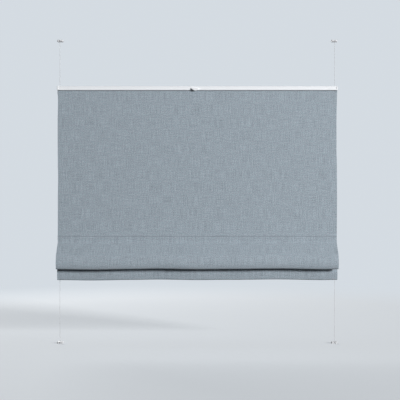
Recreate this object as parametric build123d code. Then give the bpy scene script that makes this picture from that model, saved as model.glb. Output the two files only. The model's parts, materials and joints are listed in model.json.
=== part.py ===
from build123d import *
import os

# Roman blind stretched on two cords in a window recess, lengths in millimetres.
# Origin: midway between the upper screw holes, where the upper shoes meet the recess.
# X runs along the rails, +Z is up, and -Y faces the room.

# Recess and the blind in it
recess_height = 976.0
rail_length = 900.0
top_rail_drop = 149.0
flat_drop = 470.0
cloth_side_gap = 2.0
cloth_thickness = 0.8
cloth_setback = 3.1

# Clearances
fit = 0.15
soft_gap = 0.3
overrun = 1.0

# Rail section
rail_depth = 20.0
rail_height = 13.0
rail_wall = 1.2
rail_round = 2.0
bead_height = 4.2
bead_proud = 0.8
bead_depth = 3.0
bead_round = 0.7

# End caps
cap_thickness = 3.0
cap_round = 0.8
spigot_length = 2.0
spigot_wall = 1.2

# Carrier strip and hook tape
flange_thickness = 2.0
flange_height = 12.0
flange_overhang = 1.3
head_width = 6.0
head_height = 1.2
tape_thickness = 1.2
tape_height = 10.0

# Tension cords and their ferrules
cord_r = 0.5
cord_inset = 8.0
cord_play = 0.4
ferrule_r = 1.6
ferrule_height = 2.6
ferrule_edge = 0.4

# Tension shoes
shoe_width = 19.0
shoe_depth = 14.0
shoe_height = 6.0
shoe_round = 2.5
shoe_edge = 0.8
screw_inset = 14.0
screw_hole_r = 1.7
screw_head_r = 3.1
screw_head_depth = 1.6
pocket_depth = 3.0

# Cord guides inside the rails
guide_length = 15.0
tongue_length = 12.0
tongue_thickness = 1.3
post_r = 1.0
post_clear = 0.1
hole_play = 0.7

# Tension spring and cord thimbles inside the top rail
spring_turns = 16
spring_wire = 1.2
spring_bore_r = 1.1
spring_flank_share = 0.3
thimble_core_r = 1.2
thimble_flange_r = 2.4
thimble_plate = 0.5
thimble_gap = 0.2
thimble_reach = 8.0
shank_width = 1.6

# Finger grips
grip_width = 23.0
grip_offset = -6.5
grip_drop = 8.0
grip_below = 2.0
grip_proud = 5.5
grip_edge = 0.8
tab_width = 30.0
tab_height = 8.0
tab_thickness = 3.0
tab_round = 5.0
tab_edge = 0.7

# Fold rods, their pockets, caps and rings
rod_r = 1.5
rod_pitch = 226.0
rod_stack = 7.0
rod_proud = 1.2
pocket_wall = 0.3
pocket_play = 0.1
pocket_strip = 8.0
rod_cap_length = 5.0
rod_cap_end = 0.8
ring_wall = 0.7
ring_play = 0.6
ring_height = 3.0
ring_foot_width = 3.0
ring_foot_height = 3.4

# Upper fold of the cloth, measured from the middle rod
lean_start = 15.0
lean_round = 10.0
upper_reach = 44.0
upper_drop = 102.5
knee_reach_share = 0.864
knee_drop_share = 0.566
knee_round = 28.0
brow_rise = 13.0
brow_round = 28.0
toe_rise = 13.0
toe_inset = 4.5
toe_width = 12.0
toe_round = 7.0
slope_round = 22.0
heel_rise = 35.0
heel_round = 30.0

# Turn of the cloth under the lower rod
leg_spacing = 1.8
leg_drop = 6.5
leg_round = 3.0
bend_round = 8.0
front_bend_dip = 1.0
back_bend_rise = 2.0
fold_gap = 5.1

# Lower fold of the cloth, measured from the middle rod
lower_reach = 15.0
lower_show = 35.0
lower_width = 10.0
leg_gap = 2.4
bulge_above = 4.5
bulge_below = 13.5
bulge_round = 18.0
flange_drop = 35.0
turn_rise = 4.5
half_turn_share = 0.49

# Places that follow from the sizes
top_rail_z = -top_rail_drop
cloth_width = rail_length - 2 * cloth_side_gap
middle_rod_z = top_rail_z - rail_height - flat_drop
upper_rod_z = middle_rod_z + rod_pitch
lower_rod_z = middle_rod_z - rod_stack
bottom_rail_z = middle_rod_z - flange_drop - flange_height - rail_height
cloth_y = -rail_depth / 2 + cloth_setback + cloth_thickness / 2
cloth_back_y = cloth_y + cloth_thickness / 2
tape_y = cloth_back_y + soft_gap + tape_thickness / 2
flange_y = tape_y + tape_thickness / 2 + flange_thickness / 2
cord_x = rail_length / 2 - cord_inset
screw_x = rail_length / 2 - screw_inset
extrusion_length = rail_length - 2 * cap_thickness
guide_outer_x = extrusion_length / 2 - spigot_length - fit
guide_inner_x = guide_outer_x - guide_length
hollow_depth = rail_depth - bead_proud - 2 * rail_wall
hollow_height = rail_height - 2 * rail_wall
hollow_round = rail_round - rail_wall
shell_y = bead_proud / 2
cord_run_z = -rail_height / 2
pocket_r = rod_r + pocket_play + pocket_wall
rod_y = cloth_back_y + soft_gap + pocket_r
rod_length = cloth_width + 2 * rod_proud
sides = (("left", -1), ("right", 1))

os.makedirs("parts", exist_ok=True)


def save(name, *solids):
    """Write one piece, or a set of like pieces, to its own file."""
    shape = solids[0] if len(solids) == 1 else Compound(children=list(solids))
    shape.label = name
    export_step(shape, f"parts/{name}.step")


def along_rail(section, length):
    """Extrude a section, drawn as seen from the rail's end, evenly to both sides."""
    return extrude(Plane.YZ * section, amount=length / 2, both=True)


def box(x_span, y_span, z_span):
    """Block between two places on each axis."""
    spans = (x_span, y_span, z_span)
    middle = [(low + high) / 2 for low, high in spans]
    size = [high - low for low, high in spans]
    return Pos(*middle) * Box(*size)


def upright(radius, x, y, bottom, top):
    """Upright cylinder between two heights."""
    return Pos(x, y, (bottom + top) / 2) * Cylinder(radius, top - bottom)


# Rails: each is drawn with its outer face at zero height and its slot below


def rail_outline():
    """Outside of the rail's section, flat in front with a proud bead along the slot side."""
    shell_depth = rail_depth - bead_proud
    shell = Pos(shell_y, -rail_height / 2) * RectangleRounded(shell_depth, rail_height, rail_round)
    bead_y = -rail_depth / 2 + bead_depth / 2
    bead_z = -rail_height + bead_height / 2
    return shell + Pos(bead_y, bead_z) * RectangleRounded(bead_depth, bead_height, bead_round)


def rail_hollow(clearance):
    """Inside of the rail's section, drawn in by a clearance."""
    depth = hollow_depth - 2 * clearance
    height = hollow_height - 2 * clearance
    return Pos(shell_y, -rail_height / 2) * RectangleRounded(depth, height, hollow_round)


def rail():
    slot_height = rail_wall + 2 * overrun
    slot = Rectangle(flange_thickness + 2 * fit, slot_height)
    slot = Pos(flange_y, -rail_height + rail_wall / 2) * slot
    body = along_rail(rail_outline() - rail_hollow(0) - slot, extrusion_length)
    for _, side in sides:
        body -= upright(cord_r + hole_play, side * cord_x, 0, -rail_height - overrun, overrun)
    return body


def end_cap(side):
    outline = Pos(0, -rail_height / 2) * RectangleRounded(rail_depth, rail_height, rail_round)
    plate = extrude(Plane.YZ * outline, amount=cap_thickness)
    plate = fillet(plate.faces().sort_by(Axis.X)[-1].edges(), cap_round)
    ring = rail_hollow(fit) - rail_hollow(fit + spigot_wall)
    cap = Pos(extrusion_length / 2, 0, 0) * (plate + extrude(Plane.YZ * ring, amount=-spigot_length))
    return cap if side > 0 else mirror(cap, about=Plane.YZ)


def cord_guide(side, with_post):
    """Block that leads a cord through the rail, with a post where the cord turns back."""
    block = extrude(Plane.YZ * rail_hollow(fit), amount=guide_length)
    guide = Pos(guide_inner_x, 0, 0) * block
    guide -= upright(cord_r + cord_play, cord_x, 0, -rail_height, 0)
    if with_post:
        top = -rail_wall - fit
        tongue_x = (guide_inner_x - tongue_length, guide_inner_x)
        half_width = hollow_depth / 2 - fit - hollow_round
        tongue_y = (shell_y - half_width, shell_y + half_width)
        guide += box(tongue_x, tongue_y, (top - tongue_thickness, top))
        post_low = cord_run_z - 2 * cord_r
        guide += upright(post_r, post_x, side * post_y, post_low, top - tongue_thickness)
    return guide if side > 0 else mirror(guide, about=Plane.YZ)


def carrier_strip():
    """Strip whose head slides in the rail's slot and whose flange holds the cloth."""
    head_bottom = -rail_height + rail_wall
    half_head = guide_inner_x - overrun
    half_neck = extrusion_length / 2
    half_flange = cloth_width / 2 + flange_overhang
    neck_y = (flange_y - flange_thickness / 2, flange_y + flange_thickness / 2)
    head_y = (flange_y - head_width / 2, flange_y + head_width / 2)
    strip = box((-half_head, half_head), head_y, (head_bottom, head_bottom + head_height))
    strip += box((-half_neck, half_neck), neck_y, (-rail_height, head_bottom))
    return strip + box((-half_flange, half_flange), neck_y, (-rail_height - flange_height, -rail_height))


def hook_tape():
    low = -rail_height - flange_height
    depth = (tape_y - tape_thickness / 2, tape_y + tape_thickness / 2)
    return box((-cloth_width / 2, cloth_width / 2), depth, (low, low + tape_height))


# Cord runs in the top rail: out to a spring thimble, back round a post, then across

thimble_x = spring_turns * spring_wire / 2 + thimble_reach
wrap_r = thimble_core_r + post_clear + cord_r
post_turn_r = post_r + post_clear + cord_r
post_x = guide_inner_x - tongue_length / 2
post_y = wrap_r + post_turn_r
across_y = wrap_r + 2 * post_turn_r


def doubled_cord(side):
    """Crossing run that turns round the thimble and the post on the right-hand side."""
    start = (guide_inner_x, -wrap_r)
    thimble_in = (thimble_x, -wrap_r)
    thimble_mid = (thimble_x - wrap_r, 0)
    thimble_out = (thimble_x, wrap_r)
    post_in = (post_x, wrap_r)
    post_mid = (post_x + post_turn_r, post_y)
    post_out = (post_x, across_y)
    finish = (-guide_inner_x, across_y)
    run = Line(start, thimble_in) + ThreePointArc(thimble_in, thimble_mid, thimble_out)
    run += Line(thimble_out, post_in) + ThreePointArc(post_in, post_mid, post_out)
    run += Line(post_out, finish)
    section = Plane(origin=(*start, 0), z_dir=(-1, 0, 0)) * Circle(cord_r)
    cord = Pos(0, 0, cord_run_z) * sweep(section, path=run)
    return cord if side > 0 else Rot(0, 0, 180) * cord


def straight_cord(side):
    section = Pos(side * across_y, cord_run_z) * Circle(cord_r)
    return along_rail(section, 2 * guide_inner_x)


def tension_spring():
    """Close-wound spring, its turns drawn as ridges on one bore."""
    half = spring_turns * spring_wire / 2
    root_r = spring_bore_r + spring_wire / 2
    crest_r = spring_bore_r + spring_wire
    flank = spring_flank_share * spring_wire
    outline = Line((-half, root_r), (-half, spring_bore_r))
    outline += Line((-half, spring_bore_r), (half, spring_bore_r))
    outline += Line((half, spring_bore_r), (half, root_r))
    for turn in range(spring_turns):
        start = half - turn * spring_wire
        end = start - spring_wire
        outline += Polyline((start, root_r), (start - flank, crest_r), (end + flank, crest_r), (end, root_r))
    spring = revolve(make_face(outline), axis=Axis.X)
    return Pos(0, 0, cord_run_z) * spring


def spring_thimble(side):
    """Spool that a cord turns round, with a shank to the spring's end."""
    half_core = cord_r + thimble_gap
    core = Cylinder(thimble_core_r, 2 * half_core)
    plate_z = half_core + thimble_plate / 2
    for level in (-plate_z, plate_z):
        core += Pos(0, 0, level) * Cylinder(thimble_flange_r, thimble_plate)
    shank_y = (-shank_width / 2, shank_width / 2)
    core += box((-thimble_reach, 0), shank_y, (half_core, half_core + thimble_plate))
    thimble = Pos(thimble_x, 0, cord_run_z) * core
    return thimble if side > 0 else Rot(0, 0, 180) * thimble


# Finger grips


def top_grip():
    """Half-moon grip on the bead of the top rail."""
    top = -rail_height - grip_below + grip_drop
    low = top - grip_drop
    half = grip_width / 2
    outline = Line((-half, top), (half, top)) + ThreePointArc((half, top), (0, low), (-half, top))
    front_y = -rail_depth / 2 - grip_proud
    depth = grip_proud + bead_depth
    moon = extrude(Plane(origin=(0, front_y, 0), x_dir=(1, 0, 0), z_dir=(0, -1, 0)) * make_face(outline),
                   amount=-depth)
    moon = fillet(moon.faces().sort_by(Axis.Y)[0].edges(), grip_edge)
    return Pos(grip_offset, 0, 0) * moon - along_rail(rail_outline(), rail_length)


def bottom_tab():
    """Finger tab that hangs under the bottom rail."""
    outline = RectangleRounded(tab_width, 2 * tab_height, tab_round)
    tab = extrude(Plane.XZ * outline, amount=tab_thickness / 2, both=True)
    tab = fillet(tab.faces().sort_by(Axis.Y)[0].edges() + tab.faces().sort_by(Axis.Y)[-1].edges(), tab_edge)
    return tab - box((-tab_width, tab_width), (-tab_width, tab_width), (0, 2 * tab_height))


# Pieces fixed to the window


def tension_shoe():
    """Upper right shoe, with its seat at zero height."""
    outer = rail_length / 2
    block = box((outer - shoe_width, outer), (-shoe_depth / 2, shoe_depth / 2), (-shoe_height, 0))
    block = fillet(block.edges().filter_by(Axis.Z), shoe_round)
    block = chamfer(block.faces().sort_by(Axis.Z)[0].edges(), shoe_edge)
    block -= upright(screw_hole_r, screw_x, 0, -shoe_height - overrun, overrun)
    sink = Cone(screw_head_r, screw_hole_r, screw_head_depth)
    block -= Pos(screw_x, 0, -shoe_height + screw_head_depth / 2) * sink
    block -= upright(ferrule_r + cord_play, cord_x, 0, -pocket_depth, overrun)
    block -= upright(cord_r + cord_play, cord_x, 0, -shoe_height - overrun, overrun)
    slot_half = cord_r + cord_play
    slot_y = (-shoe_depth / 2 - overrun, 0)
    return block - box((cord_x - slot_half, cord_x + slot_half), slot_y, (-shoe_height - overrun, overrun))


def ferrule():
    """Crimp on a cord's upper end, seated on the floor of the shoe's pocket."""
    crimp = Cylinder(ferrule_r, ferrule_height)
    crimp = chamfer(crimp.edges(), ferrule_edge)
    return Pos(0, 0, -pocket_depth + ferrule_height / 2) * crimp


# Fold rods


def rod_pocket(with_strip):
    """Tape tube round a rod, with the strip that is sewn to the cloth above it."""
    tube = Circle(pocket_r) - Circle(rod_r + pocket_play)
    if with_strip:
        strip_y = -pocket_r + pocket_wall / 2
        strip = Pos(strip_y, pocket_strip / 2) * Rectangle(pocket_wall, pocket_strip)
        tube = tube + strip - Circle(rod_r + pocket_play)
    length = rod_length - 2 * rod_cap_length - 2 * fit
    return Pos(0, rod_y, 0) * along_rail(tube, length)


def rod_cap(side):
    cup = along_rail(Circle(pocket_r), rod_cap_length)
    cup = chamfer(cup.faces().sort_by(Axis.X)[-1].edges(), rod_cap_end / 2)
    cup -= Pos(-rod_cap_end, 0, 0) * along_rail(Circle(rod_r), rod_cap_length)
    cap = Pos(rod_length / 2 - rod_cap_length / 2, rod_y, 0) * cup
    return cap if side > 0 else mirror(cap, about=Plane.YZ)


def cord_ring(side):
    """Ring that keeps a rod on the upright cord, with a foot sewn to the pocket."""
    inner = cord_r + ring_play
    outer = inner + ring_wall
    half_foot = ring_foot_width / 2
    foot_y = (rod_y + pocket_r, -inner)
    ring = Cylinder(outer, ring_height)
    ring += box((-half_foot, half_foot), foot_y, (-ring_foot_height / 2, ring_foot_height / 2))
    ring -= Cylinder(inner, ring_height + ring_foot_height)
    return Pos(side * cord_x, 0, 0) * ring


# Cloth


def cloth_path():
    """Corners and radii of the cloth's middle line: forward of the flat cloth, above the middle rod."""
    knee = (knee_reach_share * upper_reach, -knee_drop_share * upper_drop)
    lower_back = lower_reach - lower_width
    lower_drop = upper_drop + lower_show
    back_leg = lower_back + leg_gap
    front_leg = back_leg + fold_gap
    toe = upper_reach - toe_inset
    heel = toe - toe_width
    leg_middle = cloth_y - rod_y
    leg_front = leg_middle + leg_spacing / 2
    leg_back = leg_middle - leg_spacing / 2
    apex = -rod_stack - pocket_r - soft_gap - cloth_thickness / 2
    lower_curl = half_turn_share * lower_width
    leg_curl = half_turn_share * leg_spacing
    end_curl = half_turn_share * lower_back
    slope_drop = upper_drop - toe_rise
    brow_drop = slope_drop - brow_rise
    corners = (
        ((0, -lean_start), lean_round),
        (knee, knee_round),
        ((upper_reach, -brow_drop), brow_round),
        ((upper_reach, -slope_drop), slope_round),
        ((toe, -upper_drop), toe_round),
        ((heel, -upper_drop), toe_round),
        ((front_leg, -upper_drop + heel_rise), heel_round),
        ((front_leg, -flange_drop - front_bend_dip), bend_round),
        ((leg_front, apex - leg_drop), leg_round),
        ((leg_front, apex), leg_curl),
        ((leg_back, apex), leg_curl),
        ((leg_back, apex - leg_drop), leg_round),
        ((back_leg, -flange_drop + back_bend_rise), bend_round),
        ((back_leg, -upper_drop + bulge_above), bulge_round),
        ((lower_reach, -upper_drop - bulge_below), bulge_round),
        ((lower_reach, -lower_drop), lower_curl),
        ((lower_back, -lower_drop), lower_curl),
        ((lower_back, -flange_drop + turn_rise), end_curl),
        ((0, -flange_drop + turn_rise), end_curl),
    )
    start = (0, flat_drop - soft_gap)
    end = (0, -flange_drop - flange_height + soft_gap)
    points = [start] + [point for point, _ in corners] + [end]
    return [Vector(*point) for point in points], [radius for _, radius in corners]


def beside(points, radii, distance):
    """Rounded line that runs at a distance to the left of a path's corners and their radii."""
    runs = [(after - before).normalized() for before, after in zip(points, points[1:])]
    normals = [Vector(-run.Y, run.X) for run in runs]
    moved = [points[0] + normals[0] * distance]
    rounds = []
    for corner, radius, before, after in zip(points[1:-1], radii, normals, normals[1:]):
        moved.append(corner + (before + after) * (distance / (1 + before.dot(after))))
        turns_left = before.cross(after).Z > 0
        rounds.append(radius - distance if turns_left else radius + distance)
    moved.append(points[-1] + normals[-1] * distance)
    return FilletPolyline(*moved, radius=rounds)


def cloth():
    """One sheet, folded twice above the bottom rail and turned over the rail's flange."""
    points, radii = cloth_path()
    front = beside(points, radii, cloth_thickness / 2)
    back = beside(points, radii, -cloth_thickness / 2)
    hems = Line(front @ 0, back @ 0) + Line(front @ 1, back @ 1)
    section = mirror(make_face(front.edges() + back.edges() + hems.edges()), about=Plane.YZ)
    return Pos(0, cloth_y, middle_rod_z) * along_rail(section, cloth_width)


def at_top_rail(piece):
    return Pos(0, 0, top_rail_z) * piece


def at_bottom_rail(piece):
    """The bottom rail is the same extrusion turned over, with its slot upwards."""
    return Pos(0, 0, bottom_rail_z) * mirror(piece, about=Plane.XY)


# Window pieces
for name, side in sides:
    shoe = tension_shoe() if side > 0 else mirror(tension_shoe(), about=Plane.YZ)
    lower_shoe = Pos(0, 0, -recess_height) * mirror(shoe, about=Plane.XY)
    save(f"upper_shoe_{name}", shoe)
    save(f"lower_shoe_{name}", lower_shoe)
    cord_ends = (pocket_depth - recess_height, -pocket_depth)
    save(f"tension_cord_{name}", upright(cord_r, side * cord_x, 0, *cord_ends))
upper_ferrules = [Pos(side * cord_x, 0, 0) * ferrule() for _, side in sides]
lower_ferrules = [Pos(0, 0, -recess_height) * mirror(crimp, about=Plane.XY) for crimp in upper_ferrules]
save("cord_ferrules", *upper_ferrules, *lower_ferrules)

# Top rail
save("top_rail", at_top_rail(rail()))
save("top_grip", at_top_rail(top_grip()))
save("top_carrier_strip", at_top_rail(carrier_strip()))
save("top_hook_tape", at_top_rail(hook_tape()))
save("tension_spring", at_top_rail(tension_spring()))
for name, side in sides:
    save(f"top_end_cap_{name}", at_top_rail(end_cap(side)))
    save(f"top_cord_guide_{name}", at_top_rail(cord_guide(side, True)))
    save(f"top_cross_cord_{name}", at_top_rail(doubled_cord(side)))
    save(f"spring_thimble_{name}", at_top_rail(spring_thimble(side)))
save("cloth", cloth())

# Bottom rail
save("bottom_rail", at_bottom_rail(rail()))
save("bottom_tab", Pos(0, 0, bottom_rail_z) * bottom_tab())
save("bottom_carrier_strip", at_bottom_rail(carrier_strip()))
save("bottom_hook_tape", at_bottom_rail(hook_tape()))
for name, side in sides:
    save(f"bottom_end_cap_{name}", at_bottom_rail(end_cap(side)))
    save(f"bottom_cord_guide_{name}", at_bottom_rail(cord_guide(side, False)))
    save(f"bottom_cross_cord_{name}", at_bottom_rail(straight_cord(side)))

# Fold rods
rods = (("upper", upper_rod_z, True), ("middle", middle_rod_z, True), ("lower", lower_rod_z, False))
for name, height, with_strip in rods:
    place = Pos(0, 0, height)
    rod = along_rail(Circle(rod_r), rod_length - 2 * rod_cap_end)
    save(f"{name}_rod", place * Pos(0, rod_y, 0) * rod)
    save(f"{name}_rod_pocket", place * rod_pocket(with_strip))
    save(f"{name}_rod_caps", *[place * rod_cap(side) for _, side in sides])
    for side_name, side in sides:
        save(f"{name}_ring_{side_name}", place * cord_ring(side))
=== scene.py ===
import json
import math

import bpy
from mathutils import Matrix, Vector


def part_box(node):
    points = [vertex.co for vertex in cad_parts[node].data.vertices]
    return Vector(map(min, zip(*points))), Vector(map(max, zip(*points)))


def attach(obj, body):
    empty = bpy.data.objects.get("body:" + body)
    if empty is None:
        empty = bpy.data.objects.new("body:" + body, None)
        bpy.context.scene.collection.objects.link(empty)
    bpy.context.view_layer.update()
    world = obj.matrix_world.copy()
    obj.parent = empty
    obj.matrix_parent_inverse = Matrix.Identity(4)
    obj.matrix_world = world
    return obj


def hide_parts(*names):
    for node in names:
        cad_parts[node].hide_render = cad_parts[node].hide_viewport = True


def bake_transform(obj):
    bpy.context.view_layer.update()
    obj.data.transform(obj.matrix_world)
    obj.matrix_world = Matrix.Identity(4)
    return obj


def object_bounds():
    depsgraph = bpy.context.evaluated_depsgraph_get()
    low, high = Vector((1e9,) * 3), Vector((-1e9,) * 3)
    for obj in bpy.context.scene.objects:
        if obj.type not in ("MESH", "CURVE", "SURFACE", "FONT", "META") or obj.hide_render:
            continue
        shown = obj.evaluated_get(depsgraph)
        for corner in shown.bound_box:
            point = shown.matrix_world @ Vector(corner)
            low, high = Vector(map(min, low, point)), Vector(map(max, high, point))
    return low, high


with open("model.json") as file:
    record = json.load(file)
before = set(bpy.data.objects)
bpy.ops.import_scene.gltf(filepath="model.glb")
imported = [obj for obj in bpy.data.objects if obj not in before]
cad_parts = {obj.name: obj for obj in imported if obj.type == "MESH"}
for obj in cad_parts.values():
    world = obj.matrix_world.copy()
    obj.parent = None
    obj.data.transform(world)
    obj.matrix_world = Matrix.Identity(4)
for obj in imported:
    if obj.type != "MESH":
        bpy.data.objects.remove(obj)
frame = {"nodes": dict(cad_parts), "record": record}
cad_low, cad_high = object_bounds()

# Roman blind stretched on two cords, with its folds gathered above the bottom rail.
# Metres in the frame of the solids: X along the rails, Z up, and the room on the -Y side.

mm = 0.001

# Line of the cloth from its head to its end, in millimetres.
# Each corner: reach in front of the flat cloth, height above the middle rod, and radius of the bend.
cloth_line = (
    # Flat cloth
    (0.0, 469.7, 0.0),
    (0.0, -19.5, 10.0),
    # Upper fold: its lean, its front, its toe and its back
    (38.0, -58.0, 28.0),
    (44.0, -76.5, 28.0),
    (44.0, -89.5, 22.0),
    (39.5, -102.2, 7.0),
    (27.5, -102.2, 7.0),
    (12.5, -67.5, 30.0),
    (12.5, -34.5, 8.0),
    # Tuck at the lower rod
    (-1.7, -21.0, 3.0),
    (-1.7, -9.6, 0.88),
    (-3.5, -9.6, 0.88),
    (-3.5, -21.0, 3.0),
    # Lower fold: down its front to its bottom edge
    (7.4, -31.0, 8.0),
    (7.4, -98.0, 14.0),
    (16.0, -113.0, 16.0),
    (11.0, -138.3, 4.2),
    (5.0, -138.3, 2.0),
    # Up its back and over the flange of the bottom rail
    (5.0, -30.5, 2.45),
    (0.0, -30.5, 2.45),
    (0.0, -46.7, 0.0),
)

# Wall of the cloth, its gap to the tapes behind it, and the steps of its mesh, finer at its sewn lines
cloth_thickness = 0.8 * mm
tape_gap = 0.3 * mm
bend_step = math.radians(12)
row_step = 5.0 * mm
seam_row_step = 0.9 * mm
seam_zone = 11.0 * mm
column_step = 9.0 * mm
cloth_smooth_angle = math.radians(50)

# Lower edges that rise and dip: share of the half width, and share of the wave
edge_wave = 1.5 * mm
edge_wave_shares = (
    (-1.0, -0.3),
    (-0.76, -1.2),
    (-0.46, 0.0),
    (-0.28, 0.8),
    (0.0, -0.3),
    (0.26, 0.2),
    (0.56, 1.1),
    (0.90, -0.4),
    (1.0, 0.2),
)

# Drops below the middle rod between which that wave grows from none to full
wave_start = 30.0 * mm
wave_full = 95.0 * mm

# Soft swells of the folds towards the room, full from a reach in front of the flat cloth
swell = 1.1 * mm
swell_lengths = (610.0 * mm, 230.0 * mm)
swell_phases = (0.7, 2.3)
swell_reach = 12.0 * mm

# Side edges that are not quite straight: share of the flat drop below the head, and share outwards
side_wave = 1.0 * mm
left_edge_shares = (
    (0.0, 0.9),
    (0.07, -0.5),
    (0.24, 0.6),
    (0.42, 0.3),
    (0.60, -0.8),
    (0.75, 0.0),
    (1.0, 0.2),
)
right_edge_shares = (
    (0.0, 1.4),
    (0.07, 0.2),
    (0.20, -1.0),
    (0.40, -1.0),
    (0.52, 0.4),
    (0.76, 0.9),
    (1.0, 0.1),
)

# The higher this power, the closer that wave keeps to the edge
side_wave_power = 10

# Seam along the middle rod: cloth that puffs above and below it, and its dark line
seam_puff = 0.3 * mm
seam_half = 4.0 * mm
seam_mark = 0.8 * mm

# Painted shadow of the rail: a darker line along the sewn head of the cloth, just below the rail
painted_shadow_drop = 1.4 * mm
painted_shadow_width = 1.5 * mm
painted_shadow_share = 0.9

# Stitches with tapered ends, partly sunk in the cloth and in the walls of the rods' pockets
stitch_length = 3.3 * mm
stitch_pitch = 4.2 * mm
stitch_r = 0.28 * mm
stitch_sides = 6
stitch_margin = 5.0 * mm
stitch_rim_share = 0.4
stitch_tip_share = 0.6
stitch_end_facing = 0.9
stitch_smooth_angle = math.radians(40)
seam_proud_share = 0.3
pocket_proud_share = 0.4
pocket_wall = 0.3 * mm
pocket_stitch_rise = 6.0 * mm

# Plain weave: threads in a metre, and rates of the noise across, along and through the cloth
thread_rate = 620.0
thread_run_rate = 24.0
fleck_rates = (480.0, 440.0, 1.0)
tint_rates = (330.0, 210.0, 1.0)
drift_rates = (150.0, 150.0, 150.0)
drift_turn = 5.0

# Linen: colours of its threads and of its dark lines (the sewn line at the middle rod and a painted shadow
# just under the rail), and how thick and thin threads change the tone
linen_mauve = (0.318, 0.308, 0.358)
linen_teal = (0.256, 0.364, 0.400)
linen_seam_and_shadow = (0.200, 0.232, 0.262)
warp_share = 0.40
weft_share = 0.30
tone_reach = 0.30
tone_swing = 0.48
slub_share = 0.8
linen_sheen = 0.12
linen_sheen_rough = 0.5
linen_gloss = 0.2

# Fine skin of paint and moulded plastic: grains and patches in a metre, and where it is rubbed
skin_grain_rate = 1500.0
skin_patch_rate = 9.0
skin_grain_detail = 2.0
skin_patch_detail = 4.0
smear_rate_times = 14.0
smear_detail = 3.0
rubbed_range = (0.45, 0.75)
rubbed_dull = 0.05
rubbed_bright = 0.06
skin_strength = 0.35

# Dust on faces that look up
dust_facing = (0.4, 0.95)
dust_rates = (60.0, 60.0, 60.0)
dust_range = (0.35, 0.7)
dust_tone_share = 0.35
dust_rough = 0.2

# Painted and moulded finishes: two close tones, the tone of dust, roughness, grains, relief and patches
powder_coat = {
    "colour": (0.74, 0.762, 0.79),
    "shade": (0.77, 0.79, 0.815),
    "dusty": (0.65, 0.65, 0.65),
    "rough": 0.58,
    "grain": 1400.0,
    "depth": 0.05 * mm,
    "patch": 6.0,
}
white_moulding = {
    "colour": (0.75, 0.765, 0.79),
    "shade": (0.79, 0.80, 0.82),
    "dusty": (0.64, 0.63, 0.62),
    "rough": 0.45,
    "grain": 2200.0,
    "depth": 0.03 * mm,
    "patch": 30.0,
}
grey_moulding = {
    "colour": (0.56, 0.57, 0.59),
    "shade": (0.61, 0.62, 0.64),
    "dusty": (0.58, 0.57, 0.56),
    "rough": 0.48,
    "grain": 2000.0,
    "depth": 0.04 * mm,
    "patch": 40.0,
}

# Two tones of each other finish
cord_tones = ((0.42, 0.43, 0.45), (0.58, 0.59, 0.61))
steel_tones = ((0.66, 0.66, 0.67), (0.52, 0.52, 0.53))
tape_tones = ((0.50, 0.52, 0.54), (0.74, 0.76, 0.78))
clear_tones = ((0.74, 0.76, 0.78), (0.82, 0.84, 0.86))
rod_tones = ((0.66, 0.66, 0.60), (0.84, 0.84, 0.79))
thread_tones = ((0.15, 0.17, 0.19), (0.27, 0.30, 0.33))

# Roughness of each finish from one end of its pattern to the other
linen_rough = (0.82, 0.94)
cord_rough = (0.75, 0.55)
steel_rough = (0.20, 0.42)
tape_rough = (0.80, 0.95)
clear_rough = (0.28, 0.42)
rod_rough = (0.35, 0.50)
thread_rough = (0.70, 0.55)

# Depth of the relief of each finish, and how strongly it shows
linen_relief = (0.22 * mm, 0.55)
cord_relief = (0.12 * mm, 0.60)
steel_relief = (0.05 * mm, 0.30)
tape_relief = (0.15 * mm, 0.60)
clear_relief = (0.03 * mm, 0.30)
rod_relief = (0.06 * mm, 0.40)
thread_relief = (0.08 * mm, 0.50)

# Patterns of those finishes: turns, and rates in a metre
strand_tilts = (math.radians(45), math.radians(-45))
strand_turns = (0.6, 0.4)
strand_rate = 420.0
strand_bend = 0.6
drawn_rates = (900.0, 900.0, 120.0)
stain_rates = (160.0, 160.0, 160.0)
tape_thread_rate = 1100.0
tape_fleck_share = 0.6
tape_relief_share = 0.4
tape_sheen = 0.1
clear_grain_rate = 2600.0
clear_patch_rate = 60.0
clear_share = 0.4
fibre_rates = (30.0, 2400.0, 2400.0)
twist_tilt = math.radians(50)
twist_rate = 900.0
twist_bend = 0.4

# Detail and roughness of the noise in those patterns
soft_noise = (1.0, 0.5)
drawn_noise = (3.0, 0.6)
stain_noise = (4.0, 0.6)
dust_noise = (5.0, 0.65)

# Camera
camera_place = (0.0087, -3.010, -0.5147)
camera_lens = 84.15

# Floor and backdrop: the floor fades into the backdrop between two distances from the blind
floor_r = 9.0
floor_sides = 128
floor_gap = 0.2 * mm
floor_colour = (0.78, 0.80, 0.82)
floor_bounce = (0.20, 0.20, 0.20)
floor_rough = 0.9
floor_gloss = 0.1
floor_fade = (0.7, 2.2)
floor_glow_share = 0.45
backdrop_colour = (0.66, 0.71, 0.76, 1.0)
ambient_strength = 0.06

# Lamps: place, what it points at, width, height and power
lamps = {
    "key": ((8.16, -6.85, 2.32), (0.0, 0.0, -0.42), 2.20, 2.70, 1759.0),
    "back": ((-1.70, 3.70, 0.70), (0.0, 0.0, -0.45), 2.20, 1.80, 150.0),
}


# Small helpers


def choose(piece):
    """Make one piece the only one selected."""
    bpy.ops.object.select_all(action="DESELECT")
    piece.select_set(True)
    bpy.context.view_layer.objects.active = piece


def keep_modifier(piece, name):
    """Put a modifier's shape into the mesh."""
    choose(piece)
    bpy.ops.object.modifier_apply(modifier=name)


def middle_z(node):
    """Height of the middle of a node."""
    low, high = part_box(node)
    return (low.z + high.z) / 2


def ease(share):
    """Smooth step from 0 to 1."""
    share = min(max(share, 0.0), 1.0)
    return share * share * (3 - 2 * share)


def through(shares, place):
    """Height at a place on a smooth line through given points."""
    for (left, low), (right, high) in zip(shares, shares[1:]):
        if place <= right:
            return low + (high - low) * ease((place - left) / (right - left))
    return shares[-1][1]


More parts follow.
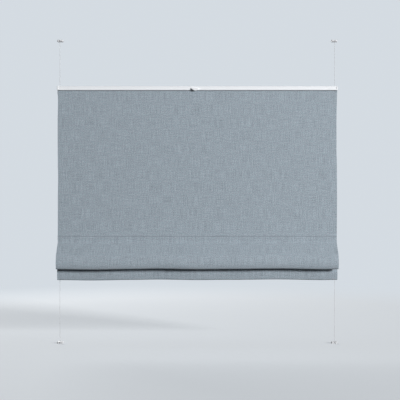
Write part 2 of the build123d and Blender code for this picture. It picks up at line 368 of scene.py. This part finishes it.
def add(tree, kind, sockets=None, **settings):
    """Put a node in a tree, with its sockets set or linked."""
    node = tree.nodes.new(kind)
    for name, value in settings.items():
        setattr(node, name, value)
    for name, value in (sockets or {}).items():
        if isinstance(value, bpy.types.NodeSocket):
            tree.links.new(value, node.inputs[name])
        else:
            node.inputs[name].default_value = value
    return node


def maths(tree, operation, *values):
    """Math node with its inputs in order."""
    return add(tree, "ShaderNodeMath", dict(enumerate(values)), operation=operation).outputs[0]


def mask(tree, value, start, full):
    """Mask that grows from 0 to 1 between two values."""
    sockets = {"Value": value, "From Min": start, "From Max": full}
    return add(tree, "ShaderNodeMapRange", sockets).outputs["Result"]


def spread(tree, value, low, high):
    """A 0 to 1 mask turned into a range of values."""
    sockets = {"Value": value, "To Min": low, "To Max": high}
    return add(tree, "ShaderNodeMapRange", sockets).outputs["Result"]


def between(tree, share, first, second):
    """Colour between two colours."""
    mix = add(tree, "ShaderNodeMix", {"Factor": share}, data_type="RGBA")
    for socket, colour in ((mix.inputs[6], first), (mix.inputs[7], second)):
        if isinstance(colour, bpy.types.NodeSocket):
            tree.links.new(colour, socket)
        else:
            socket.default_value = (*colour, 1.0)
    return mix.outputs[2]


def noise(tree, vector, rate, detail):
    """Plain noise with grains of one size."""
    sockets = {"Vector": vector, "Scale": rate, "Detail": detail}
    return add(tree, "ShaderNodeTexNoise", sockets).outputs["Fac"]


def stretched_noise(tree, vector, rates, detail, roughness):
    """Noise whose grains are drawn out along an axis."""
    scaled = add(tree, "ShaderNodeVectorMath", {0: vector, 1: rates}, operation="MULTIPLY").outputs[0]
    sockets = {"Vector": scaled, "Scale": 1.0, "Detail": detail, "Roughness": roughness}
    return add(tree, "ShaderNodeTexNoise", sockets).outputs["Fac"]


def turned(tree, vector, turns):
    """Coordinates turned about the three axes."""
    return add(tree, "ShaderNodeMapping", {"Vector": vector, "Rotation": turns}).outputs[0]


def object_place(tree):
    """Coordinates of the solids' frame."""
    return add(tree, "ShaderNodeTexCoord").outputs["Object"]


def new_group(name, inputs, outputs):
    """Shader group with named sockets; inputs are (name, type, value)."""
    tree = bpy.data.node_groups.new(name, "ShaderNodeTree")
    for label, kind, value in inputs:
        socket = tree.interface.new_socket(label, in_out="INPUT", socket_type=kind)
        if value is not None:
            socket.default_value = value
    for label in outputs:
        tree.interface.new_socket(label, in_out="OUTPUT", socket_type="NodeSocketFloat")
    ins = tree.nodes.new("NodeGroupInput")
    outs = tree.nodes.new("NodeGroupOutput")
    return tree, ins, outs


def use(tree, effect, **values):
    """Place a shared effect in a finish."""
    node = tree.nodes.new("ShaderNodeGroup")
    node.node_tree = effect
    for name, value in values.items():
        if isinstance(value, bpy.types.NodeSocket):
            tree.links.new(value, node.inputs[name])
        else:
            node.inputs[name].default_value = value
    return node.outputs


def new_finish(name):
    """Material with a plain Principled shader, its tree and that shader."""
    finish = bpy.data.materials.new(name)
    finish.use_nodes = True
    tree = finish.node_tree
    return finish, tree, tree.nodes["Principled BSDF"]


def dress(tree, shader, colour, rough, height, relief):
    """Give a finish its colour, its roughness and its relief."""
    depth, strength = relief
    bump = add(tree, "ShaderNodeBump", {"Height": height, "Distance": depth, "Strength": strength})
    tree.links.new(colour, shader.inputs["Base Color"])
    tree.links.new(rough, shader.inputs["Roughness"])
    tree.links.new(bump.outputs["Normal"], shader.inputs["Normal"])


# Effects that several finishes share


def weave_effect():
    """Plain weave: thread relief, thick and thin threads both ways, and small flecks."""
    tree, ins, outs = new_group(
        "plain_weave",
        (("Vector", "NodeSocketVector", None), ("Threads", "NodeSocketFloat", thread_rate)),
        ("Relief", "Warp", "Weft", "Fleck", "Tint"),
    )
    vector = ins.outputs["Vector"]
    split = add(tree, "ShaderNodeSeparateXYZ", {0: vector})
    drift = stretched_noise(tree, vector, drift_rates, *soft_noise)
    rate = maths(tree, "MULTIPLY", ins.outputs["Threads"], math.tau)
    ridges = []
    for axis in ("X", "Y"):
        turn = maths(tree, "MULTIPLY", split.outputs[axis], rate)
        turn = maths(tree, "MULTIPLY_ADD", drift, drift_turn, turn)
        ridges.append(maths(tree, "SINE", turn))
    crossing = maths(tree, "MULTIPLY", *ridges)
    relief = maths(tree, "MULTIPLY_ADD", crossing, 0.5, 0.5)
    tree.links.new(relief, outs.inputs["Relief"])
    threads = {
        "Warp": (thread_rate, thread_run_rate, 1.0),
        "Weft": (thread_run_rate, thread_rate, 1.0),
        "Fleck": fleck_rates,
        "Tint": tint_rates,
    }
    for name, rates in threads.items():
        tree.links.new(stretched_noise(tree, vector, rates, *soft_noise), outs.inputs[name])
    return tree


def skin_effect():
    """Fine skin of paint or moulded plastic, with slow changes of tone over it."""
    tree, ins, outs = new_group(
        "fine_skin",
        (("Vector", "NodeSocketVector", None), ("Grain", "NodeSocketFloat", skin_grain_rate),
         ("Patch", "NodeSocketFloat", skin_patch_rate)),
        ("Relief", "Patches", "Rubbed"),
    )
    vector = ins.outputs["Vector"]
    grain = noise(tree, vector, ins.outputs["Grain"], skin_grain_detail)
    patch = noise(tree, vector, ins.outputs["Patch"], skin_patch_detail)
    smear_rate = maths(tree, "MULTIPLY", ins.outputs["Patch"], smear_rate_times)
    smear = noise(tree, vector, smear_rate, smear_detail)
    tree.links.new(grain, outs.inputs["Relief"])
    tree.links.new(patch, outs.inputs["Patches"])
    tree.links.new(mask(tree, smear, *rubbed_range), outs.inputs["Rubbed"])
    return tree


def dust_effect():
    """Thin dust on faces that look up."""
    tree, ins, outs = new_group("settled_dust", (("Vector", "NodeSocketVector", None),), ("Dust",))
    normal = add(tree, "ShaderNodeNewGeometry").outputs["Normal"]
    up = add(tree, "ShaderNodeSeparateXYZ", {0: normal}).outputs["Z"]
    cover = stretched_noise(tree, ins.outputs["Vector"], dust_rates, *dust_noise)
    dust = maths(tree, "MULTIPLY", mask(tree, up, *dust_facing), mask(tree, cover, *dust_range))
    tree.links.new(dust, outs.inputs["Dust"])
    return tree


plain_weave = weave_effect()
fine_skin = skin_effect()
settled_dust = dust_effect()


# Finishes


def linen():
    """Blue-grey linen: mauve-grey and teal-grey threads that cross, with a dark sewn line at the middle rod
    and a painted shadow line just under the rail.
    """
    finish, tree, shader = new_finish("linen")
    place = add(tree, "ShaderNodeUVMap", uv_map="weave").outputs["UV"]
    weave = use(tree, plain_weave, Vector=place)
    tone = maths(tree, "MULTIPLY_ADD", weave["Warp"], warp_share, weave["Fleck"])
    tone = maths(tree, "MULTIPLY_ADD", weave["Weft"], weft_share, tone)
    middle = (1 + warp_share + weft_share) / 2
    bright = add(tree, "ShaderNodeMapRange", {
        "Value": tone, "From Min": middle - tone_reach, "From Max": middle + tone_reach,
        "To Min": 1 - tone_swing, "To Max": 1 + tone_swing}).outputs["Result"]
    colour = between(tree, weave["Tint"], linen_mauve, linen_teal)
    threads = add(tree, "ShaderNodeVectorMath", {0: colour, "Scale": bright}, operation="SCALE").outputs[0]
    seam_and_shadow_share = add(tree, "ShaderNodeAttribute", attribute_name="seam_and_shadow").outputs["Fac"]
    slub = maths(tree, "MULTIPLY_ADD", tone, slub_share, weave["Relief"])
    # Darker at the sewn line of the middle rod, with a painted shadow just under the rail
    dress(tree, shader, between(tree, seam_and_shadow_share, threads, linen_seam_and_shadow),
          spread(tree, weave["Fleck"], *linen_rough), slub, linen_relief)
    shader.inputs["Sheen Weight"].default_value = linen_sheen
    shader.inputs["Sheen Roughness"].default_value = linen_sheen_rough
    shader.inputs["Specular IOR Level"].default_value = linen_gloss
    return finish


def skinned(name, colour, shade, dusty, rough, grain, depth, patch):
    """Painted or moulded finish: two close tones, a fine skin and dust that has settled."""
    finish, tree, shader = new_finish(name)
    place = object_place(tree)
    skin = use(tree, fine_skin, Vector=place, Grain=grain, Patch=patch)
    dust = use(tree, settled_dust, Vector=place)["Dust"]
    tone = between(tree, skin["Patches"], colour, shade)
    dust_tone = between(tree, maths(tree, "MULTIPLY", dust, dust_tone_share), tone, dusty)
    gloss = spread(tree, skin["Rubbed"], rough + rubbed_dull, rough - rubbed_bright)
    dull = maths(tree, "MULTIPLY_ADD", dust, dust_rough, gloss)
    dress(tree, shader, dust_tone, dull, skin["Relief"], (depth, skin_strength))
    return finish


def braid():
    """Thin braided cord, with strands that cross."""
    finish, tree, shader = new_finish("braided_cord")
    place = object_place(tree)
    strands = []
    for tilt in strand_tilts:
        sockets = {"Vector": turned(tree, place, (tilt, *strand_turns)), "Scale": strand_rate,
                   "Distortion": strand_bend}
        strands.append(add(tree, "ShaderNodeTexWave", sockets, bands_direction="Z").outputs["Fac"])
    relief = maths(tree, "MAXIMUM", *strands)
    dress(tree, shader, between(tree, relief, *cord_tones), spread(tree, relief, *cord_rough),
          relief, cord_relief)
    return finish


def bright_steel():
    """Drawn steel wire and crimped steel, with faint stains."""
    finish, tree, shader = new_finish("bright_steel")
    place = object_place(tree)
    drawn = stretched_noise(tree, place, drawn_rates, *drawn_noise)
    stain = stretched_noise(tree, place, stain_rates, *stain_noise)
    dress(tree, shader, between(tree, stain, *steel_tones), spread(tree, drawn, *steel_rough),
          drawn, steel_relief)
    shader.inputs["Metallic"].default_value = 1.0
    return finish


def woven_tape():
    """Pale woven tape of the rods' pockets and the rails' hook tapes."""
    finish, tree, shader = new_finish("woven_tape")
    place = turned(tree, object_place(tree), (math.radians(-90), 0.0, 0.0))
    weave = use(tree, plain_weave, Vector=place, Threads=tape_thread_rate)
    relief_tone = maths(tree, "MULTIPLY", weave["Relief"], tape_relief_share)
    tone = maths(tree, "MULTIPLY_ADD", weave["Fleck"], tape_fleck_share, relief_tone)
    dress(tree, shader, between(tree, tone, *tape_tones), spread(tree, weave["Fleck"], *tape_rough),
          weave["Relief"], tape_relief)
    shader.inputs["Sheen Weight"].default_value = tape_sheen
    return finish


def clear_moulding():
    """Half-clear moulded plastic."""
    finish, tree, shader = new_finish("clear_moulding")
    skin = use(tree, fine_skin, Vector=object_place(tree), Grain=clear_grain_rate, Patch=clear_patch_rate)
    dress(tree, shader, between(tree, skin["Patches"], *clear_tones),
          spread(tree, skin["Rubbed"], *clear_rough), skin["Relief"], clear_relief)
    shader.inputs["Transmission Weight"].default_value = clear_share
    return finish


def glass_fibre():
    """Pale rod with fibres drawn along it."""
    finish, tree, shader = new_finish("glass_fibre")
    fibres = stretched_noise(tree, object_place(tree), fibre_rates, *drawn_noise)
    dress(tree, shader, between(tree, fibres, *rod_tones), spread(tree, fibres, *rod_rough),
          fibres, rod_relief)
    return finish


def sewing_thread():
    """Twisted thread a shade darker than the cloth."""
    finish, tree, shader = new_finish("sewing_thread")
    place = turned(tree, object_place(tree), (0.0, twist_tilt, 0.0))
    sockets = {"Vector": place, "Scale": twist_rate, "Distortion": twist_bend}
    twist = add(tree, "ShaderNodeTexWave", sockets).outputs["Fac"]
    dress(tree, shader, between(tree, twist, *thread_tones), spread(tree, twist, *thread_rough),
          twist, thread_relief)
    return finish


linen_finish = linen()
thread_finish = sewing_thread()
solid_finishes = {
    "rail": skinned("powder_coat", **powder_coat),
    "white_plastic": skinned("white_moulding", **white_moulding),
    "grey_plastic": skinned("grey_moulding", **grey_moulding),
    "cord": braid(),
    "steel": bright_steel(),
    "tape": woven_tape(),
    "clear_plastic": clear_moulding(),
    "rod": glass_fibre(),
    "cloth": linen_finish,
}
for part in frame["record"]["subparts"]:
    solid = frame["nodes"][part["node"]]
    for slot in solid.material_slots:
        slot.material = solid_finishes[part["material_slot"]]


# Cloth and its stitches

cloth_low, cloth_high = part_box("cloth")
hook_tape_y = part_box("top_hook_tape")[0].y
pocket_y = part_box("middle_rod_pocket")[0].y
middle_rod_z = middle_z("middle_rod")
upper_rod_z = middle_z("upper_rod")


def rounded_line(corners):
    """Points along straight runs and the arcs that join them."""
    points = [Vector(corners[0][:2])]
    for before, corner, after in zip(corners, corners[1:], corners[2:]):
        here = Vector(corner[:2])
        radius = corner[2]
        back = (Vector(before[:2]) - here).normalized()
        on = (Vector(after[:2]) - here).normalized()
        turn = math.pi - back.angle(on)
        left = on.cross(back) > 0
        start = here + back * radius * math.tan(turn / 2)
        centre = here + (back + on).normalized() * radius / math.cos(turn / 2)
        spoke = start - centre
        steps = max(2, math.ceil(turn / bend_step))
        for step in range(steps + 1):
            angle = turn * step / steps
            cosine = math.cos(angle)
            sine = math.sin(angle if left else -angle)
            swung = Vector((spoke.x * cosine - spoke.y * sine, spoke.x * sine + spoke.y * cosine))
            points.append(centre + swung)
    points.append(Vector(corners[-1][:2]))
    return points


def cloth_rows():
    """Rows of the cloth as reach, height and length from the head, closer together along the sewn lines."""
    points = [point * mm for point in rounded_line(cloth_line)]
    rows = [(points[0].x, points[0].y, 0.0)]
    for first, last in zip(points, points[1:]):
        span = (last - first).length
        done = 0.0
        length = rows[-1][2]
        while done < span:
            height = (first + (last - first) * (done / span)).y
            on_seam = first.x == 0 and last.x == 0 and min(abs(height), length + done) < seam_zone
            step = seam_row_step if on_seam else row_step
            step = min(step, span - done)
            if span - done - step < seam_row_step / 2:
                step = span - done
            done += step
            point = first + (last - first) * (done / span)
            rows.append((point.x, point.y, length + done))
    return rows


def cloth_sheet():
    """One sheet from the head to the flange of the bottom rail, with its folds, soft waves and sewn line at
    the middle rod, and a painted shadow just under the rail.
    """
    flat_y = hook_tape_y - tape_gap - cloth_thickness / 2
    half = (cloth_high.x - cloth_low.x) / 2
    columns = math.ceil(2 * half / column_step)
    rows = cloth_rows()
    flat_drop = rows[0][1]
    points = []
    seam_and_shadow_marks = []
    for reach, height, length in rows:
        waving = ease((-height - wave_start) / (wave_full - wave_start))
        swelling = waving * ease(reach / swell_reach)
        seam_share = height / seam_half
        on_flat = length < flat_drop + seam_zone
        puff = seam_puff * seam_share ** 2 * math.exp(1 - seam_share ** 2) if on_flat else 0.0
        seam_and_shadow_mark = math.exp(-((height / seam_mark) ** 2)) if on_flat else 0.0
        # Painted shadow of the rail: a darker line just below the head of the cloth
        seam_and_shadow_mark += painted_shadow_share * math.exp(-(((length - painted_shadow_drop) / painted_shadow_width) ** 2))
        for column in range(columns + 1):
            share = 2 * column / columns - 1
            rise = edge_wave * through(edge_wave_shares, share) * waving
            ripple = sum(math.sin(math.tau * share * half / size + phase)
                         for size, phase in zip(swell_lengths, swell_phases))
            out = reach + puff + swell * swelling * ripple / len(swell_lengths)
            side = math.copysign(abs(share) ** side_wave_power, share)
            bow = through(right_edge_shares if share > 0 else left_edge_shares, length / flat_drop)
            across = share * half + side * side_wave * bow
            points.append((across, flat_y - out, middle_rod_z + height + rise))
            seam_and_shadow_marks.append(seam_and_shadow_mark)
    wide = columns + 1
    faces = []
    for row in range(len(rows) - 1):
        for column in range(columns):
            corner = row * wide + column
            faces.append((corner, corner + wide, corner + wide + 1, corner + 1))
    mesh = bpy.data.meshes.new("cloth_sheet")
    mesh.from_pydata(points, [], faces)
    layer = mesh.uv_layers.new(name="weave")
    for loop in mesh.loops:
        row, column = divmod(loop.vertex_index, wide)
        layer.data[loop.index].uv = (2 * half * column / columns, rows[row][2])
    mesh.attributes.new("seam_and_shadow", "FLOAT", "POINT").data.foreach_set("value", seam_and_shadow_marks)
    sheet = bpy.data.objects.new("cloth_sheet", mesh)
    bpy.context.scene.collection.objects.link(sheet)
    wall = sheet.modifiers.new("wall", "SOLIDIFY")
    wall.thickness = cloth_thickness
    wall.offset = 0.0
    keep_modifier(sheet, "wall")
    bpy.ops.object.shade_smooth_by_angle(angle=cloth_smooth_angle)
    return sheet, 2 * half, rows[-1][2]


def stitch_row(name, y, z, body):
    """Row of sewn stitches along a rod."""
    first = cloth_low.x + stitch_margin
    count = int((cloth_high.x - cloth_low.x - 2 * stitch_margin) / stitch_pitch)
    bpy.ops.object.select_all(action="DESELECT")
    bpy.ops.mesh.primitive_cylinder_add(
        vertices=stitch_sides, radius=stitch_r, depth=stitch_length, end_fill_type="NGON",
        location=(first + stitch_length / 2, y, z), rotation=(0.0, math.radians(90), 0.0))
    row = bpy.context.active_object
    row.name = row.data.name = name
    bpy.ops.object.transform_apply(location=True, rotation=True, scale=True)
    bpy.ops.object.mode_set(mode="EDIT")
    bpy.ops.mesh.select_mode(type="FACE")
    bpy.ops.mesh.select_all(action="DESELECT")
    bpy.ops.object.mode_set(mode="OBJECT")
    for face in row.data.polygons:
        face.select = abs(face.normal.x) > stitch_end_facing
    bpy.ops.object.mode_set(mode="EDIT")
    bpy.ops.mesh.inset(thickness=stitch_r * stitch_rim_share, depth=stitch_r * stitch_tip_share)
    bpy.ops.object.mode_set(mode="OBJECT")
    repeat = row.modifiers.new("repeat", "ARRAY")
    repeat.use_relative_offset = False
    repeat.use_constant_offset = True
    repeat.constant_offset_displace = (stitch_pitch, 0.0, 0.0)
    repeat.count = count
    keep_modifier(row, "repeat")
    bpy.ops.object.shade_smooth_by_angle(angle=stitch_smooth_angle)
    row.data.materials.append(thread_finish)
    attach(row, body)
    return row


sheet, cloth_width, cloth_length = cloth_sheet()
sheet.data.materials.append(linen_finish)
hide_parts("cloth")

front_y = pocket_y - tape_gap - cloth_thickness
seam_y = front_y - stitch_r * seam_proud_share
pocket_stitch_y = pocket_y + pocket_wall + stitch_r * pocket_proud_share
seam_stitches = stitch_row("seam_stitches", seam_y, middle_rod_z, "bottom_rail")
stitch_row("middle_pocket_stitches", pocket_stitch_y, middle_rod_z + pocket_stitch_rise, "bottom_rail")
stitch_row("upper_pocket_stitches", pocket_stitch_y, upper_rod_z + pocket_stitch_rise, "upper_rod")

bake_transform(sheet)


# Floor, backdrop, lamps and camera


def seen_rays(tree):
    """1 for rays that show the backdrop itself."""
    rays = add(tree, "ShaderNodeLightPath").outputs
    seen = maths(tree, "MAXIMUM", rays["Is Camera Ray"], rays["Is Glossy Ray"])
    return maths(tree, "MAXIMUM", seen, rays["Is Transmission Ray"])


def floor():
    """Pale round floor that takes the blind's shadow and fades into the backdrop."""
    bpy.ops.object.select_all(action="DESELECT")
    bpy.ops.mesh.primitive_circle_add(vertices=floor_sides, radius=floor_r, fill_type="NGON",
                                      location=(0.0, 0.0, cad_low.z - floor_gap))
    ground = bpy.context.active_object
    ground.name = "floor"
    bpy.ops.object.transform_apply(location=True, rotation=True, scale=True)
    finish, tree, shader = new_finish("pale_floor")
    seen = seen_rays(tree)
    tree.links.new(between(tree, seen, floor_bounce, floor_colour), shader.inputs["Base Color"])
    shader.inputs["Roughness"].default_value = floor_rough
    shader.inputs["Specular IOR Level"].default_value = floor_gloss
    sockets = {0: object_place(tree), 1: (1.0, 1.0, 0.0)}
    flat = add(tree, "ShaderNodeVectorMath", sockets, operation="MULTIPLY").outputs[0]
    away = add(tree, "ShaderNodeVectorMath", {0: flat}, operation="LENGTH").outputs["Value"]
    sockets = {"Value": away, "From Min": floor_fade[0], "From Max": floor_fade[1]}
    far = add(tree, "ShaderNodeMapRange", sockets, interpolation_type="SMOOTHSTEP").outputs["Result"]
    glow = add(tree, "ShaderNodeEmission", {"Color": backdrop_colour, "Strength": 1.0})
    share = maths(tree, "MULTIPLY", maths(tree, "MAXIMUM", far, floor_glow_share), seen)
    mix = add(tree, "ShaderNodeMixShader", {0: share, 1: shader.outputs[0], 2: glow.outputs[0]})
    tree.links.new(mix.outputs[0], tree.nodes["Material Output"].inputs["Surface"])
    ground.data.materials.append(finish)


def backdrop():
    """Pale backdrop that gives only a little light of its own."""
    room = bpy.data.worlds.new("soft_room")
    bpy.context.scene.world = room
    room.use_nodes = True
    tree = room.node_tree
    shade = tree.nodes["Background"]
    shade.inputs["Color"].default_value = backdrop_colour
    strength = maths(tree, "MULTIPLY_ADD", seen_rays(tree), 1.0 - ambient_strength, ambient_strength)
    tree.links.new(strength, shade.inputs["Strength"])


def lamp(name, place, target, width, height, power):
    """Soft light that points at a place on the blind."""
    data = bpy.data.lights.new(name, "AREA")
    data.shape = "RECTANGLE"
    data.size = width
    data.size_y = height
    data.energy = power
    light = bpy.data.objects.new(name, data)
    light.location = place
    light.rotation_euler = (Vector(target) - Vector(place)).to_track_quat("-Z", "Y").to_euler()
    light.visible_camera = False
    bpy.context.scene.collection.objects.link(light)


floor()
backdrop()
for name, values in lamps.items():
    lamp(name, *values)

camera = bpy.data.objects.new("camera", bpy.data.cameras.new("camera"))
camera.location = camera_place
camera.rotation_euler = (math.radians(90), 0.0, 0.0)
camera.data.lens = camera_lens
bpy.context.scene.collection.objects.link(camera)
bpy.context.scene.camera = camera
bpy.context.scene.view_settings.view_transform = "Standard"
